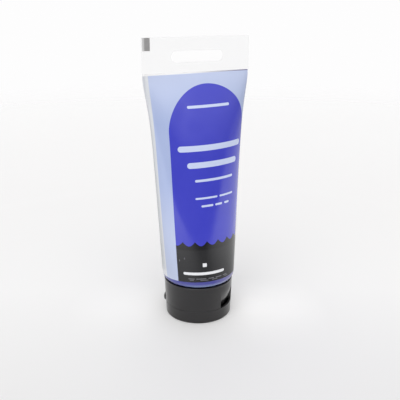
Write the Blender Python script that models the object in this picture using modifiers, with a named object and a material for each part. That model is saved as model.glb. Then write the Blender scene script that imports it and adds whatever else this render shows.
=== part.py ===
"""A flip-top paint tube standing upside down on its cap.

Metres, +Z up. The origin is the centre of the cap's outer face, which rests on the table.
The printed front faces -Y and the flat sealed end of the tube lies along X.
"""

import math

import bmesh
import bpy
import numpy as np
from mathutils import Matrix, Vector

MM = 0.001
GAP = 0.3 * MM  # clearance left between pieces that touch

# Tube
TUBE_RADIUS = 20.0 * MM  # outside, where the sleeve is round
WALL = 0.5 * MM
SEAL_Z = 134.2 * MM  # where the sleeve's walls meet
ROUND_Z = 24.4 * MM  # where the sleeve has become round
CORNER_RADIUS = 3.0 * MM  # the sleeve's rounded lower edge
SLEEVE_FLOOR_Z = 21.3 * MM
LIP_RADIUS = 16.6 * MM  # hole in the sleeve's turned-in lower edge
CAVITY_START = 0.010  # of the way from the seal to the round end
PAINT_START = 0.022
SLEEVE_RINGS = 15
RING_POINTS = 44

# The sleeve's depth grows quickly below the seal and then slowly
SWELL_SHARE = 0.49
SWELL_REACH = 0.16
LENS_SHARPNESS = 0.29

# Sealed end
FLAG_TOP_Z = 152.2 * MM
FLAG_CORNER = 0.4 * MM
WELD_SPREAD = 0.2 * MM  # how far welding pushes each side edge out
SLOT_LENGTH = 30.5 * MM
SLOT_HEIGHT = 5.5 * MM
SLOT_Z = 142.3 * MM

# Head and neck
HEAD_RIM_Z = 25.8 * MM
HEAD_RIM_THICKNESS = 1.0 * MM
NECK_RADIUS = 9.5 * MM
NECK_BORE = 6.0 * MM
NECK_END_Z = 10.8 * MM
SHOULDER_INSIDE_Z = 22.4 * MM
SHOULDER_SLOPE = 1.0 * MM

# Thread on the neck and in the cap
PITCH = 3.0 * MM
THREAD_TURNS = 1.5
THREAD_START_Z = 12.4 * MM
NECK_THREAD_RADIUS = 10.4 * MM
CAP_THREAD_RADIUS = 10.0 * MM
SOCKET_RADIUS = 10.9 * MM
SOCKET_WALL = 1.2 * MM
SOCKET_TOP_Z = 19.3 * MM
THREAD_ROOT_HALF = 0.65 * MM
THREAD_CREST_HALF = 0.30 * MM
THREAD_BITE = 0.35 * MM  # how far a thread's root runs into its wall
THREAD_STEPS = 54

# Cap
CAP_RIM_RADIUS = 19.05 * MM
CAP_FOOT_RADIUS = 18.2 * MM
CAP_HEIGHT = 21.0 * MM
CAP_WALL = 1.2 * MM
SPLIT_Z = 6.9 * MM  # the joint between lid and base
DECK_LOW_Z = 8.0 * MM
DECK_TOP_Z = 9.2 * MM
LID_FLOOR = 1.3 * MM
FOOT_ROUNDING = 0.6 * MM
COLLAR_RADIUS = 16.35 * MM  # the ring that the closed lid fits round
COLLAR_WALL = 0.9 * MM
COLLAR_LOW_Z = 5.5 * MM

# Spout and the lid's plug
SPOUT_ROOT_RADIUS = 3.6 * MM
SPOUT_TIP_RADIUS = 3.0 * MM
SPOUT_TIP_Z = 4.2 * MM
SPOUT_BORE = 2.2 * MM
FUNNEL_RADIUS = 4.2 * MM
FUNNEL_Z = 7.6 * MM
PLUG_RADIUS = 1.85 * MM
PLUG_ROOT_RADIUS = 2.7 * MM
PLUG_TIP_Z = 6.2 * MM

# Sealing ring between the neck and the cap's deck
SEAL_RING_INNER = 6.4 * MM
SEAL_RING_OUTER = 9.7 * MM
SEAL_RING_LOW_Z = 9.5 * MM
SEAL_RING_TOP_Z = 10.5 * MM

# Thumb notch and hinge, opposite each other; angles are measured from the front, towards +X
NOTCH_ANGLE = math.radians(34.0)
NOTCH_HALF_ANGLE = math.radians(21.5)
NOTCH_TOP_Z = 15.0 * MM
NOTCH_FLOOR_RADIUS = 16.3 * MM  # how deep the notch runs in at the joint
NOTCH_WALL = 1.2 * MM
HINGE_ANGLE = NOTCH_ANGLE + math.pi
STRAP_HALF_ANGLE = math.radians(25.0)
STRAP_LOW_Z = 4.8 * MM
STRAP_TOP_Z = 8.6 * MM
STRAP_THICKNESS = 0.9 * MM
STRAP_BULGE = 0.4 * MM

SEGMENTS = 48  # round a turned piece


# ---------------------------------------------------------------- scene and materials

def clear_scene():
    for obj in list(bpy.data.objects):
        bpy.data.objects.remove(obj, do_unlink=True)


def new_collection(name):
    collection = bpy.data.collections.new(name)
    bpy.context.scene.collection.children.link(collection)
    return collection


def plastic(name, color, roughness, alpha=1.0):
    material = bpy.data.materials.new(name)
    material.use_nodes = True
    shader = material.node_tree.nodes["Principled BSDF"]
    shader.inputs["Base Color"].default_value = (*color, 1.0)
    shader.inputs["Roughness"].default_value = roughness
    shader.inputs["Metallic"].default_value = 0.0
    shader.inputs["Alpha"].default_value = alpha
    material.diffuse_color = (*color, alpha)
    return material


def add_object(name, mesh, collection, material=None):
    obj = bpy.data.objects.new(name, mesh)
    collection.objects.link(obj)
    if material:
        mesh.materials.append(material)
    return obj


# ---------------------------------------------------------------- shape helpers

def outward(angle):
    """The horizontal direction at an angle from the front, towards +X."""
    return Vector((math.sin(angle), -math.cos(angle), 0.0))


def cap_radius(z):
    """The cap's outside radius: it widens a little from its foot to its rim."""
    return CAP_FOOT_RADIUS + (CAP_RIM_RADIUS - CAP_FOOT_RADIUS) * z / CAP_HEIGHT


def arc(center, radius, start, end, steps):
    """Points on an arc in the profile plane, both ends included; angles in degrees."""
    angles = np.radians(np.linspace(start, end, steps + 1))
    return [(center[0] + radius * math.cos(a), center[1] + radius * math.sin(a)) for a in angles]


def loft(name, rings):
    """A closed mesh through rings of equally many points, with a flat face over each end."""
    mesh = bpy.data.meshes.new(name)
    bm = bmesh.new()
    rows = [[bm.verts.new(point) for point in ring] for ring in rings]
    for row, following in zip(rows, rows[1:]):
        for i in range(len(row)):
            j = (i + 1) % len(row)
            bm.faces.new((row[i], row[j], following[j], following[i]))
    bm.faces.new(rows[0])
    bm.faces.new(rows[-1])
    bmesh.ops.recalc_face_normals(bm, faces=bm.faces)
    if bm.calc_volume(signed=True) < 0.0:
        bmesh.ops.reverse_faces(bm, faces=bm.faces)
    bm.to_mesh(mesh)
    bm.free()
    shade_round(mesh)
    return mesh


def shade_round(mesh):
    mesh.shade_smooth()
    mesh.set_sharp_from_angle(angle=math.radians(35.0))


def turned(name, profile, closed, collection, material):
    """A profile of (radius, z) points turned about Z; a closed one is the section of a ring."""
    mesh = bpy.data.meshes.new(name)
    count = len(profile)
    edges = [(i, i + 1) for i in range(count - 1)]
    if closed:
        edges.append((count - 1, 0))
    mesh.from_pydata([(radius, 0.0, z) for radius, z in profile], edges, [])
    obj = add_object(name, mesh, collection, material)
    screw = obj.modifiers.new("Turn", "SCREW")
    screw.axis = "Z"
    screw.steps = SEGMENTS
    screw.render_steps = SEGMENTS
    screw.use_merge_vertices = True
    screw.merge_threshold = 0.00001
    return obj


def swept(name, profile, start, end, steps, rise=0.0, taper=None):
    """A (radius, z) section carried round Z from one angle to another, rising as it goes.

    taper(t) scales the section about its own first point, so that a thread can run out.
    """
    rings = []
    for step in range(steps + 1):
        t = step / steps
        direction = outward(start + (end - start) * t)
        scale = taper(t) if taper else 1.0
        root_radius, root_z = profile[0]
        ring = []
        for radius, z in profile:
            r = root_radius + (radius - root_radius) * scale
            h = root_z + (z - root_z) * scale + rise * t
            ring.append(direction * r + Vector((0.0, 0.0, h)))
        rings.append(ring)
    return loft(name, rings)


def combine(obj, operation, other):
    """Unites obj with other, or cuts other from it."""
    boolean = obj.modifiers.new(operation.title(), "BOOLEAN")
    boolean.operation = operation
    boolean.solver = "EXACT"
    boolean.object = other


def tool(name, mesh, collection):
    """A solid used only to cut or to add to another."""
    obj = add_object(name, mesh, collection)
    obj.display_type = "WIRE"
    obj.hide_render = True
    return obj


# ---------------------------------------------------------------- the sleeve's sections

def section_points(half_width, half_depth, power, count):
    angles = np.arange(count) * 2.0 * math.pi / count
    sines = np.sin(angles)
    x = half_width * np.cos(angles)
    y = half_depth * sines * np.abs(sines) ** power
    return angles, x, y


def half_width_for(half_depth, power, perimeter):
    """The half width that gives a section this perimeter, because the wall doesn't stretch."""
    low, high = 0.2 * perimeter / math.pi, 0.26 * perimeter
    for _ in range(40):
        middle = (low + high) / 2.0
        _, x, y = section_points(middle, half_depth, power, 360)
        length = np.hypot(np.roll(x, -1) - x, np.roll(y, -1) - y).sum()
        if length < perimeter:
            low = middle
        else:
            high = middle
    return (low + high) / 2.0


def sleeve_ring(t, offset):
    """The sleeve's section t of the way from the seal to the round end, grown by offset."""
    inside = TUBE_RADIUS - WALL
    swell = SWELL_SHARE * math.tanh(t / SWELL_REACH) + (1.0 - SWELL_SHARE) * t
    end_swell = SWELL_SHARE * math.tanh(1.0 / SWELL_REACH) + (1.0 - SWELL_SHARE)
    half_depth = inside * swell / end_swell
    power = LENS_SHARPNESS * (1.0 - t) ** 3
    half_width = half_width_for(half_depth, power, 2.0 * math.pi * inside)
    angles, x, y = section_points(half_width, half_depth, power, RING_POINTS)
    z = SEAL_Z + (ROUND_Z - SEAL_Z) * t
    ring = []
    for angle, px, py in zip(angles, x, y):
        slope = (power + 1.0) * abs(math.sin(angle)) ** power
        normal = Vector((half_depth * slope * math.cos(angle), half_width * math.sin(angle), 0.0))
        if abs(math.sin(angle)) < 1e-6:
            normal = Vector((math.cos(angle), 0.0, 0.0))
        ring.append(Vector((px, py, z)) + normal.normalized() * offset)
    return ring


def circle_ring(radius, z):
    angles = np.arange(RING_POINTS) * 2.0 * math.pi / RING_POINTS
    return [Vector((radius * math.cos(a), radius * math.sin(a), z)) for a in angles]


def sleeve_stations(start):
    """Stations from start to the round end, closer together where the sleeve swells fast."""
    return [start + (1.0 - start) * (i / SLEEVE_RINGS) ** 1.6 for i in range(SLEEVE_RINGS + 1)]


def corner_profile(inset):
    """The sleeve's rounded lower edge, set in from its outer surface by inset."""
    center = (TUBE_RADIUS - CORNER_RADIUS, SLEEVE_FLOOR_Z + CORNER_RADIUS)
    return arc(center, CORNER_RADIUS - inset, 0.0, -90.0, 5)


# ---------------------------------------------------------------- pieces

def make_sleeve(collection, material):
    outside = [sleeve_ring(t, WALL) for t in sleeve_stations(0.0)]
    corner = [circle_ring(r, z) for r, z in corner_profile(0.0)]
    lip = [circle_ring(LIP_RADIUS, SLEEVE_FLOOR_Z), circle_ring(LIP_RADIUS, SLEEVE_FLOOR_Z + WALL)]
    inner_corner = [circle_ring(r, z) for r, z in reversed(corner_profile(WALL))]
    inside = [sleeve_ring(t, 0.0) for t in reversed(sleeve_stations(CAVITY_START))]
    mesh = loft("tube_sleeve", outside + corner + lip + inner_corner + inside)
    return add_object("tube_sleeve", mesh, collection, material)


def outline_spline(curve, points):
    spline = curve.splines.new("POLY")
    spline.points.add(len(points) - 1)
    for spot, (x, y) in zip(spline.points, points):
        spot.co = (x, y, 0.0, 1.0)
    spline.use_cyclic_u = True


def rounded_rectangle(width, height, radius, steps):
    x, y = width / 2.0 - radius, height / 2.0 - radius
    corners = ((x, y, 0.0), (-x, y, 90.0), (-x, -y, 180.0), (x, -y, 270.0))
    points = []
    for cx, cy, start in corners:
        points += arc((cx, cy), radius, start, start + 90.0, steps)
    return points


def make_flag(collection, material):
    """The flat clear end: both walls welded together, with a slot to hang the tube by."""
    bottom = SEAL_Z + GAP
    height = FLAG_TOP_Z - bottom
    middle = (FLAG_TOP_Z + bottom) / 2.0
    width = math.pi * (TUBE_RADIUS - WALL) + 2.0 * (WALL + WELD_SPREAD)
    slot = rounded_rectangle(SLOT_LENGTH, SLOT_HEIGHT, SLOT_HEIGHT / 2.0 - 0.01 * MM, 6)
    curve = bpy.data.curves.new("end_flag", "CURVE")
    curve.dimensions = "2D"
    curve.fill_mode = "BOTH"
    curve.extrude = WALL
    outline_spline(curve, rounded_rectangle(width, height, FLAG_CORNER, 3))
    outline_spline(curve, [(x, y + SLOT_Z - middle) for x, y in slot])
    flag = bpy.data.objects.new("end_flag", curve)
    collection.objects.link(flag)
    curve.materials.append(material)
    flag.location = (0.0, 0.0, middle)
    flag.rotation_euler = (math.radians(90.0), 0.0, 0.0)
    return flag


def thread_taper(t):
    """Runs the thread out to a thin end over its first and last tenth."""
    return max(0.25, min(1.0, t / 0.1, (1.0 - t) / 0.1))


def thread(name, root, crest, start_z):
    """A helical ridge between two radii; the root is the first point of its section."""
    profile = [
        (root, start_z),
        (root, start_z + THREAD_ROOT_HALF),
        (crest, start_z + THREAD_CREST_HALF),
        (crest, start_z - THREAD_CREST_HALF),
        (root, start_z - THREAD_ROOT_HALF),
    ]
    turn = 2.0 * math.pi * THREAD_TURNS
    return swept(name, profile, 0.0, turn, THREAD_STEPS, PITCH * THREAD_TURNS, thread_taper)


def make_head(collection, tools, material):
    """The moulded shoulder and neck that close the sleeve's lower end."""
    outer = TUBE_RADIUS - WALL - GAP
    inner = outer - HEAD_RIM_THICKNESS
    step = LIP_RADIUS - GAP
    shoulder_z = SHOULDER_INSIDE_Z + SHOULDER_SLOPE
    profile = [(outer, HEAD_RIM_Z)]
    profile += corner_profile(WALL + GAP)
    profile += [
        (step, SLEEVE_FLOOR_Z + WALL + GAP),
        (step, SLEEVE_FLOOR_Z),
        (NECK_RADIUS, SLEEVE_FLOOR_Z),
        (NECK_RADIUS, NECK_END_Z + 0.4 * MM),
        (NECK_RADIUS - 0.4 * MM, NECK_END_Z),
        (NECK_BORE, NECK_END_Z),
        (NECK_BORE, SHOULDER_INSIDE_Z),
        (inner - 0.4 * MM, shoulder_z),
        (inner, shoulder_z + 0.4 * MM),
        (inner, HEAD_RIM_Z),
    ]
    head = turned("tube_head", profile, True, collection, material)
    ridge = thread("neck_thread", NECK_RADIUS - THREAD_BITE, NECK_THREAD_RADIUS, THREAD_START_Z)
    combine(head, "UNION", tool("neck_thread", ridge, tools))
    return head


def make_paint(collection, material):
    """The paint: it fills the sleeve, the shoulder and the neck."""
    inset = GAP + WALL
    outer = TUBE_RADIUS - WALL - GAP
    inner = outer - HEAD_RIM_THICKNESS - GAP
    shoulder_z = SHOULDER_INSIDE_Z + SHOULDER_SLOPE + GAP
    rings = [sleeve_ring(t, WALL - inset) for t in sleeve_stations(PAINT_START)[:-1]]
    column = [
        (outer, HEAD_RIM_Z + GAP),
        (inner, HEAD_RIM_Z + GAP),
        (inner, shoulder_z + 0.5 * MM),
        (inner - 0.5 * MM, shoulder_z),
        (NECK_BORE - GAP, SHOULDER_INSIDE_Z + GAP),
        (NECK_BORE - GAP, NECK_END_Z + GAP),
    ]
    rings += [circle_ring(r, z) for r, z in column]
    return add_object("paint_fill", loft("paint_fill", rings), collection, material)


def make_sealing_ring(collection, material):
    profile = [
        (SEAL_RING_OUTER, SEAL_RING_TOP_Z),
        (SEAL_RING_OUTER, SEAL_RING_LOW_Z),
        (SEAL_RING_INNER, SEAL_RING_LOW_Z),
        (SEAL_RING_INNER, SEAL_RING_TOP_Z),
    ]
    return turned("sealing_ring", profile, True, collection, material)


def notch_slope(offset, z):
    """The radius of the notch's sloping floor at a height, moved towards the axis by offset."""
    low = SPLIT_Z + GAP / 2.0
    outer = cap_radius(NOTCH_TOP_Z)
    run = (outer - NOTCH_FLOOR_RADIUS) / (NOTCH_TOP_Z - low)
    return NOTCH_FLOOR_RADIUS + (z - low) * run - offset * math.hypot(1.0, run)


def make_cap_base(collection, tools, material):
    """The cap's fixed part: skirt, threaded socket, deck and spout."""
    low = SPLIT_Z + GAP / 2.0
    skirt = cap_radius(low) - CAP_WALL
    collar_inner = COLLAR_RADIUS - COLLAR_WALL
    socket_outer = SOCKET_RADIUS + SOCKET_WALL
    profile = [
        (CAP_RIM_RADIUS, CAP_HEIGHT),
        (cap_radius(low), low),
        (skirt, low),
        (skirt, DECK_LOW_Z),
        (COLLAR_RADIUS, DECK_LOW_Z),
        (COLLAR_RADIUS, COLLAR_LOW_Z + 0.4 * MM),
        (COLLAR_RADIUS - 0.3 * MM, COLLAR_LOW_Z),
        (collar_inner, COLLAR_LOW_Z),
        (collar_inner, DECK_LOW_Z),
        (SPOUT_ROOT_RADIUS, DECK_LOW_Z),
        (SPOUT_TIP_RADIUS, SPOUT_TIP_Z),
        (SPOUT_BORE, SPOUT_TIP_Z),
        (SPOUT_BORE, FUNNEL_Z),
        (FUNNEL_RADIUS, DECK_TOP_Z),
        (SOCKET_RADIUS, DECK_TOP_Z),
        (SOCKET_RADIUS, SOCKET_TOP_Z),
        (socket_outer, SOCKET_TOP_Z),
        (socket_outer, DECK_TOP_Z),
        (skirt, DECK_TOP_Z),
        (CAP_RIM_RADIUS - CAP_WALL, CAP_HEIGHT),
    ]
    base = turned("cap_base", profile, True, collection, material)
    ridge_start = THREAD_START_Z + PITCH / 2.0
    ridge = thread("cap_thread", SOCKET_RADIUS + THREAD_BITE, CAP_THREAD_RADIUS, ridge_start)
    combine(base, "UNION", tool("cap_thread", ridge, tools))

    # A pocket wall stands behind the notch, and then the notch is cut
    wall_low = low + 0.5 * MM
    wall_top = NOTCH_TOP_Z + NOTCH_WALL
    pocket = [
        (cap_radius(wall_low) - 0.5 * MM, wall_low),
        (notch_slope(NOTCH_WALL, wall_low), wall_low),
        (cap_radius(wall_top) - 1.0 * MM, wall_top),
        (cap_radius(wall_top) - 0.5 * MM, wall_top),
    ]
    spread = NOTCH_HALF_ANGLE + NOTCH_WALL / NOTCH_FLOOR_RADIUS
    mesh = swept("notch_wall", pocket, NOTCH_ANGLE - spread, NOTCH_ANGLE + spread, 20)
    combine(base, "UNION", tool("notch_wall", mesh, tools))
    below = COLLAR_LOW_Z - 1.0 * MM
    above = NOTCH_TOP_Z + 2.0 * MM
    wedge = [
        (notch_slope(0.0, above), above),
        (NOTCH_FLOOR_RADIUS, low),
        (NOTCH_FLOOR_RADIUS, below),
        (notch_slope(0.0, above), below),
    ]
    start, end = NOTCH_ANGLE - NOTCH_HALF_ANGLE, NOTCH_ANGLE + NOTCH_HALF_ANGLE
    combine(base, "DIFFERENCE", tool("thumb_notch", swept("thumb_notch", wedge, start, end, 16), tools))
    return base


def make_lid(collection, material, hinge_line):
    """The flip-top lid, with the plug that closes the spout."""
    rim = SPLIT_Z - GAP / 2.0
    inner = cap_radius(rim) - CAP_WALL
    foot = (CAP_FOOT_RADIUS - FOOT_ROUNDING, FOOT_ROUNDING)
    profile = [
        (0.0, PLUG_TIP_Z),
        (PLUG_RADIUS - 0.5 * MM, PLUG_TIP_Z),
        (PLUG_RADIUS, PLUG_TIP_Z - 0.5 * MM),
        (PLUG_RADIUS, SPOUT_TIP_Z - 0.5 * MM),
        (PLUG_ROOT_RADIUS, LID_FLOOR),
        (CAP_FOOT_RADIUS - CAP_WALL, LID_FLOOR),
        (inner, rim),
        (cap_radius(rim), rim),
    ]
    profile += arc(foot, FOOT_ROUNDING, 0.0, -90.0, 4)
    profile.append((0.0, 0.0))
    lid = turned("cap_lid", profile, False, collection, material)
    lid.parent = hinge_line
    lid.matrix_parent_inverse = hinge_line_inverse(hinge_line)
    return lid


def make_strap(collection, material, hinge_line):
    """The bowed plastic strap that joins lid and base at the back."""
    inner_low = cap_radius(STRAP_LOW_Z) + GAP
    inner_top = cap_radius(STRAP_TOP_Z) + GAP
    middle_z = (STRAP_LOW_Z + STRAP_TOP_Z) / 2.0
    thin = STRAP_THICKNESS - STRAP_BULGE
    profile = [
        (inner_low, STRAP_LOW_Z),
        (inner_top, STRAP_TOP_Z),
        (inner_top + thin, STRAP_TOP_Z - 0.1 * MM),
        (inner_top + STRAP_THICKNESS, STRAP_TOP_Z - 1.0 * MM),
        (cap_radius(middle_z) + GAP + STRAP_THICKNESS, middle_z),
        (inner_low + STRAP_THICKNESS, STRAP_LOW_Z + 1.0 * MM),
        (inner_low + thin, STRAP_LOW_Z + 0.1 * MM),
    ]
    start, end = HINGE_ANGLE - STRAP_HALF_ANGLE, HINGE_ANGLE + STRAP_HALF_ANGLE
    strap = add_object("hinge_strap", swept("hinge_strap", profile, start, end, 16), collection, material)
    strap.parent = hinge_line
    strap.matrix_parent_inverse = hinge_line_inverse(hinge_line)
    return strap


def add_hinge_line(name, z, collection):
    """An empty on a fold line of the hinge, its local X axis along that line."""
    empty = bpy.data.objects.new(name, None)
    collection.objects.link(empty)
    empty.location = outward(HINGE_ANGLE) * (cap_radius(z) + GAP) + Vector((0.0, 0.0, z))
    empty.rotation_euler = (0.0, 0.0, HINGE_ANGLE)
    return empty


def hinge_line_inverse(empty):
    """Lets a child keep its place in the world under an empty that is turned and moved."""
    return (Matrix.Translation(empty.location) @ empty.rotation_euler.to_matrix().to_4x4()).inverted()


# ---------------------------------------------------------------- assembly

def build():
    clear_scene()
    parts = new_collection("paint_tube")
    tools = new_collection("cutters_and_guides")

    printed = plastic("printed_film", (0.50, 0.58, 0.83), 0.28)
    clear = plastic("clear_film", (0.93, 0.95, 0.97), 0.12, 0.35)
    paint = plastic("wet_paint", (0.045, 0.045, 0.42), 0.35)
    head = plastic("neck_plastic", (0.86, 0.86, 0.84), 0.4)
    seal = plastic("seal_foam", (0.90, 0.90, 0.88), 0.7)
    cap = plastic("cap_plastic", (0.045, 0.043, 0.045), 0.38)

    make_sleeve(parts, printed)
    make_flag(parts, clear)
    make_paint(parts, paint)
    make_head(parts, tools, head)
    make_sealing_ring(parts, seal)
    make_cap_base(parts, tools, cap)
    base_line = add_hinge_line("hinge_line_base", STRAP_TOP_Z, tools)
    lid_line = add_hinge_line("hinge_line_lid", STRAP_LOW_Z, tools)
    make_strap(parts, cap, base_line)
    make_lid(parts, cap, lid_line)


build()
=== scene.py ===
"""A flip-top paint tube standing on its cap: the fine surfaces, print, floor and light.

Metres, +Z up, printed front towards -Y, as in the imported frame.
"""

import math

import bmesh
import bpy
import numpy as np
from mathutils import Matrix, Vector


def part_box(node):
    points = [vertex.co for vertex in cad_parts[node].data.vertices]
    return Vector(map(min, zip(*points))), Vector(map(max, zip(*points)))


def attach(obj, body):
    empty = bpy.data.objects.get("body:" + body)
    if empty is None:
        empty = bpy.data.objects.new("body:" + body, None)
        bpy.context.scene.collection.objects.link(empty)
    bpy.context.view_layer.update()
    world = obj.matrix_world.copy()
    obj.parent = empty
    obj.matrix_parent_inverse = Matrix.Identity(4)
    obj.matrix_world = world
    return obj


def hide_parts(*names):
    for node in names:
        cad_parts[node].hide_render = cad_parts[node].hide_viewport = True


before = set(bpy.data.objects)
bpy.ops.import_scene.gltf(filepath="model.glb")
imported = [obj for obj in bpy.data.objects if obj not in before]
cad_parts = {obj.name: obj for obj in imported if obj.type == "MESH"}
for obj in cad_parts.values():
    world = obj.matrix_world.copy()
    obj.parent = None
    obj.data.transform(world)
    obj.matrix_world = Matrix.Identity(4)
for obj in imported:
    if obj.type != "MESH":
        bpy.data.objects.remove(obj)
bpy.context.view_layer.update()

MM = 0.001
TURN = 2.0 * math.pi
HALF_JOINT = 0.15 * MM  # half the CAD's gap between lid and base
HAIR = 0.02 * MM  # half the gap that shows there

# Sizes read from the frame
sleeve_low, sleeve_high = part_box("tube_sleeve")
flag_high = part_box("end_flag")[1]
base_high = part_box("cap_base")[1]
strap_low, strap_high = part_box("hinge_strap")
lid_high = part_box("cap_lid")[1]
head_low, head_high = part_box("tube_head")

TUBE_RADIUS = sleeve_high.y
SEAL_Z = sleeve_high.z
SLEEVE_FLOOR_Z = sleeve_low.z
FLAG_TOP_Z = flag_high.z
FLAG_HALF_WIDTH = flag_high.x
CAP_HEIGHT = base_high.z
CAP_RIM_RADIUS = base_high.y
SPLIT_Z = lid_high.z + HALF_JOINT
STRAP_LOW_Z, STRAP_TOP_Z = strap_low.z, strap_high.z
NECK_END_Z = head_low.z
HEAD_RIM_Z = head_high.z

# Tube, as in the CAD
WALL = 0.5 * MM
ROUND_Z = 24.4 * MM
CORNER_RADIUS = 3.0 * MM
LIP_RADIUS = 16.6 * MM
CAVITY_START = 0.010  # share of the way from the seal to the round end
SWELL_SHARE = 0.49  # of the tube's full depth, gained close to the seal
SWELL_REACH = 0.16  # share of the way over which that is gained
LENS_SHARPNESS = 0.29  # how pointed the section's sides are at the seal
SLEEVE_COLUMNS = 192
SLEEVE_ROWS, SLEEVE_ROW_POWER = 130, 1.25
INSIDE_ROWS, INSIDE_ROW_POWER = 24, 1.5
PUCKER_DEPTH, PUCKER_REACH = 0.07, 5.0  # small waves that the weld leaves, in millimetres

# Sealed end
SLOT_LENGTH = 30.5 * MM
SLOT_HEIGHT = 5.5 * MM
SLOT_Z = 142.3 * MM
FLAG_CORNER = 0.5 * MM
FLAG_EASE = 0.12 * MM
EYE_MARK_SIZE = (4.2 * MM, 6.3 * MM)
EYE_MARK_X, EYE_MARK_Z = -29.0 * MM, 148.75 * MM
EYE_MARK_THICKNESS = 0.02 * MM
EYE_MARK_SUNK = 0.01 * MM
EYE_MARK_PALE = (-29.6, -30.4)  # in millimetres along X, where its outer strip turns pale

# Cap
CAP_FOOT_RADIUS = 18.2 * MM
CAP_WALL = 1.2 * MM
DECK_LOW_Z = 8.0 * MM
DECK_TOP_Z = 9.2 * MM
LID_FLOOR = 1.3 * MM
FOOT_ROUNDING = 0.6 * MM
RIM_ROUNDING = 0.45 * MM
SHARP_ANGLE = math.radians(50.0)  # edges that bend more than this keep a hard line
COLLAR_RADIUS = 16.35 * MM
COLLAR_WALL = 0.9 * MM
COLLAR_LOW_Z = 5.5 * MM
NOTCH_ANGLE = math.radians(34.0)  # from the front, towards +X
NOTCH_HALF_ANGLE = math.radians(21.5)
NOTCH_TOP_Z = 15.0 * MM
NOTCH_FLOOR_RADIUS = 16.3 * MM
NOTCH_DISH = 0.25 * MM
NOTCH_EASE = 0.25 * MM
NOTCH_SIDE_TURN = math.radians(0.9)
HINGE_ANGLE = NOTCH_ANGLE + math.pi
STRAP_HALF_ANGLE = math.radians(25.0)
STRAP_GAP = 0.3 * MM
STRAP_THICKNESS = 0.9 * MM
STRAP_EDGE_SHARE = 0.25  # of that thickness, at its upper and lower edges
STRAP_BOW_POWER = 0.45
STRAP_END_START = 0.94  # share of the half angle from which its ends round off

# The gate mark under the lid, as radius and z in millimetres
GATE_MARK = [(16.0, 0.0), (1.6, 0.0), (1.4, 0.25), (0.5, 0.25), (0.4, 0.12), (0.0, 0.12)]

# Socket, spout and neck
SOCKET_RADIUS = 10.9 * MM
SOCKET_WALL = 1.2 * MM
SOCKET_TOP_Z = 19.3 * MM
CAP_THREAD_RADIUS = 10.0 * MM
SPOUT_ROOT_RADIUS = 3.6 * MM
SPOUT_TIP_RADIUS = 3.0 * MM
SPOUT_TIP_Z = 4.2 * MM
SPOUT_BORE = 2.2 * MM
FUNNEL_RADIUS = 4.2 * MM
FUNNEL_Z = 7.6 * MM
PLUG_RADIUS = 1.85 * MM
PLUG_ROOT_RADIUS = 2.7 * MM
PLUG_TIP_Z = 6.2 * MM
NECK_RADIUS = 9.5 * MM
NECK_THREAD_RADIUS = 10.4 * MM
NECK_BORE = 6.0 * MM
SHOULDER_INSIDE_Z = 22.4 * MM
SHOULDER_SLOPE = 1.0 * MM
HEAD_GAP = 0.3 * MM
HEAD_RIM_THICKNESS = 1.0 * MM
PITCH = 3.0 * MM
THREAD_TURNS = 1.5
THREAD_START_Z = 12.4 * MM
THREAD_HALF_CREST, THREAD_HALF_ROOT = 0.28 * MM, 0.65 * MM
THREAD_RUNOUT = 0.08  # share of the thread's length over which each end fades
NECK_THREAD_SPAN = (19.9, 11.3, -0.1)  # heights and step of its rows, in millimetres
SOCKET_THREAD_SPAN = (10.8, 19.0, 0.1)
NECK_COLUMNS = 160

# Print, in millimetres: u runs round the film from the middle of the front, v is the height
LABEL_TOP = 133.7  # at the middle of the front; the edge climbs a little towards +X
LABEL_TOP_CLIMB = 0.004
LABEL_FOOT = 25.5  # at the middle of the front; the edge drops towards the sides
LABEL_FOOT_DROP = 0.0012
SEAM_START, SEAM_END = -42.0, -29.4  # the unprinted strip over the side seam, at mid height
SEAM_LEAN, SEAM_LEAN_FROM = 0.018, 80.0
SEAM_LINE_INSET, SEAM_LINE_HALF = 2.2, 0.5  # a greyer line along each edge of the strip
PANEL_CENTER = 2.8
PANEL_HALF = 24.2
PANEL_TOP = 128.6
BAND_CUSP = 47.8
BAND_DIP = 2.3
BAND_PITCH = 6.5
BAND_CUSP_U = 2.0
BAND_SHADE_START = 43.2  # above this the band is painted darker, as painted shade
SQUARE = (-6.3, 34.9, 1.1, 1.0, 0.25)  # middle, half sizes and corner
GROUND_TOP = (110.0, 132.0)  # heights between which the pale ground changes
GROUND_LOW = (75.0, 50.0)
GROUND_FOOT = (45.0, 28.0)
SHOULDER_MARGIN = 1.4
# Spans of u over which the shoulder takes a painted reflection towards +X and painted shade
# towards -X
SHOULDER_REFLECTION_SPAN, SHOULDER_SHADE_SPAN = (-2.0, 18.0), (-12.0, -20.0)
CAUGHT_START, CAUGHT_END = (-4.0, 26.0), (56.0, 34.0)  # the paint along the weld

# Setting: metres, and radiance where 1 shows as white
FLOOR_RADIUS = 1.6
FLOOR_FADE_START, FLOOR_FADE_END = 0.25, 1.1
BACKDROP = 0.985
TOWARD_CAMERA = (-0.49, -0.87)  # along the floor
RIGHTWARD = (0.87, -0.49)
NEAR_SHADE_RAMP = (-0.02, 0.12)  # towards the camera, where the paper is painted a little darker, as painted shade
SHADE_AHEAD, SHADE_ASIDE = (0.0, 0.06), (0.045, 0.0)  # and more so just in front of the tube
CONTACT_LIFT = 0.16
LIFT_AWAY, LIFT_ASIDE, LIFT_RIGHT = (0.075, 0.018), (0.008, 0.030), (-0.02, 0.02)
LIFT_LEFT_SHARE = 0.6
LIFT_FROM, LIFT_TO = (-0.040, -0.005), (0.045, 0.005)  # towards the camera
OPENING_REACH = 0.15
OPENING_SAMPLES = 16
OPENING_RAMP = (0.955, 0.993)  # openness below the floor from which the paper shows
ROOM_STRENGTH = 0.36
GLOSS_ROOM = 0.92  # the room as glossy rays see it
GLOSS_HORIZON = 0.55  # share of that left at the horizon
GLOSS_HORIZON_TOP = 0.25
GLOSS_BEHIND = 0.45  # share taken off again on the far side
FAR_SIDE = (0.78, 0.62, 0.0)
ROOM_COLOR = (1.0, 0.997, 1.0, 1.0)
CEILING_STRENGTH = 0.80
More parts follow.
